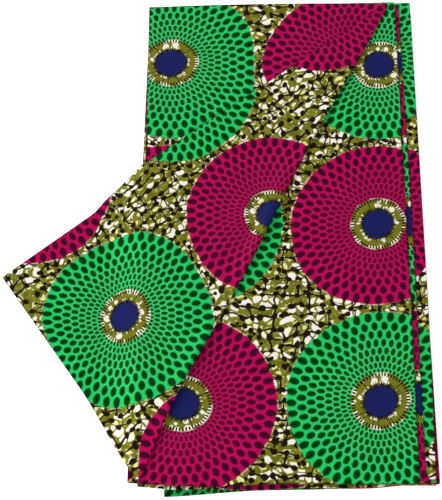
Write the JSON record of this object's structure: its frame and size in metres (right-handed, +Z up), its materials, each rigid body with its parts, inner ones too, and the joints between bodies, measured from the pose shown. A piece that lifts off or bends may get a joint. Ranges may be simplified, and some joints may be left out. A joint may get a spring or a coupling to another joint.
{
  "type": "folded wax print fabric",
  "caption": "Length of wax print cotton folded into a long flat band, its top ply turned over along a diagonal with the corner lying on the table.",
  "frame": {"origin": "centre of the cloth's box in plan, on the surface it lies on", "axes": "+Y along the folded band, from its front end to its back end, +X from the turned corner's side to the side where the lower plies show, +Z up"},
  "size_m": [0.4398, 0.5592, 0.019],
  "materials": {
    "wax_print_cotton": "plain woven cotton with a lightly glazed wax print in green, magenta, olive, navy and cream"
  },
  "bodies": {
    "root": {"lowest_ply": "wax_print_cotton", "folded_stack": "wax_print_cotton", "outer_ply": "wax_print_cotton", "inner_ply": "wax_print_cotton", "upper_ply": "wax_print_cotton", "turned_ply": "wax_print_cotton"}
  },
  "joints": []
}
